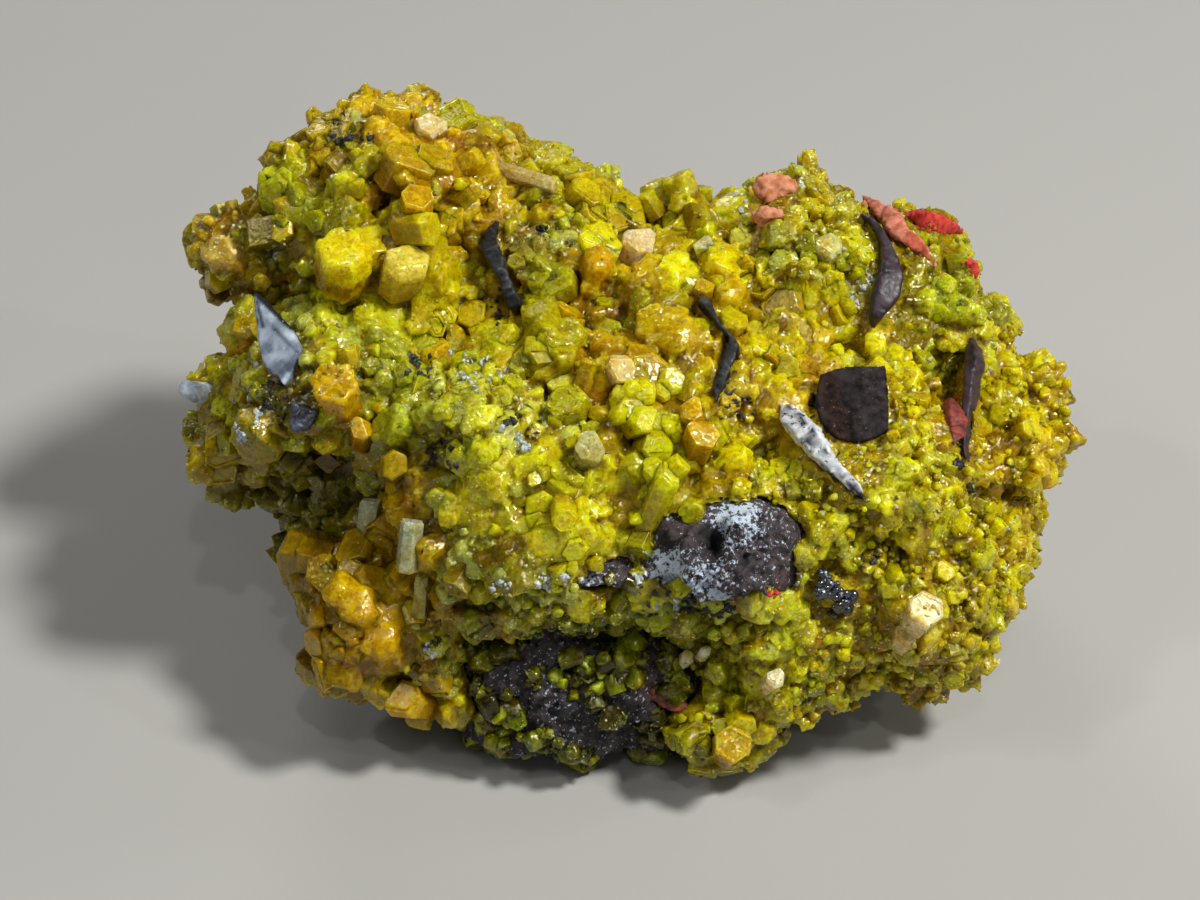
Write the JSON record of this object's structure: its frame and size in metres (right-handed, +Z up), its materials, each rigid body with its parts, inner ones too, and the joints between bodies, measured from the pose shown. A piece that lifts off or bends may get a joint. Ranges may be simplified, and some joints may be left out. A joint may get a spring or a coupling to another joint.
{
  "type": "mimetite crystal cluster",
  "caption": "Hand-sized mineral specimen: a lumpy crust of yellow six-sided mimetite crystals grown over dark oxide rock, resting on a flat broken base.",
  "frame": {"origin": "on the flat broken base of the rock, in its plane, under the middle of the cluster", "axes": "+X to the right and +Y to the back as the specimen is displayed, +Z up from the surface it rests on"},
  "size_m": [0.0911, 0.0631, 0.0542],
  "materials": {
    "mimetite": "translucent resinous crystal faces",
    "oxide_rock": "rough broken rock",
    "black_oxide": "dull black oxide",
    "grey_plate": "dull blue-grey plate",
    "purple_oxide": "satin purple-brown oxide",
    "brown_oxide": "matte brown oxide",
    "white_vein": "chalky white",
    "red_ochre": "earthy matte red",
    "pink_ochre": "earthy matte pink"
  },
  "bodies": {
    "root": {"mimetite_crust": "mimetite", "oxide_rock": "oxide_rock", "grey_plate": "grey_plate", "black_blade_upper": "black_oxide", "black_blade_centre": "black_oxide", "purple_blade": "purple_oxide", "dark_block": "oxide_rock", "white_vein": "white_vein", "brown_blade": "brown_oxide", "red_slab": "red_ochre", "blue_shard": "black_oxide", "pink_ochre": "pink_ochre", "pink_ochre_chip": "pink_ochre", "ochre_streak": "pink_ochre", "red_ochre": "red_ochre", "red_ochre_speck": "red_ochre", "rust_chip": "brown_oxide", "black_botryoid": "black_oxide", "pale_knob": "white_vein"}
  },
  "joints": []
}
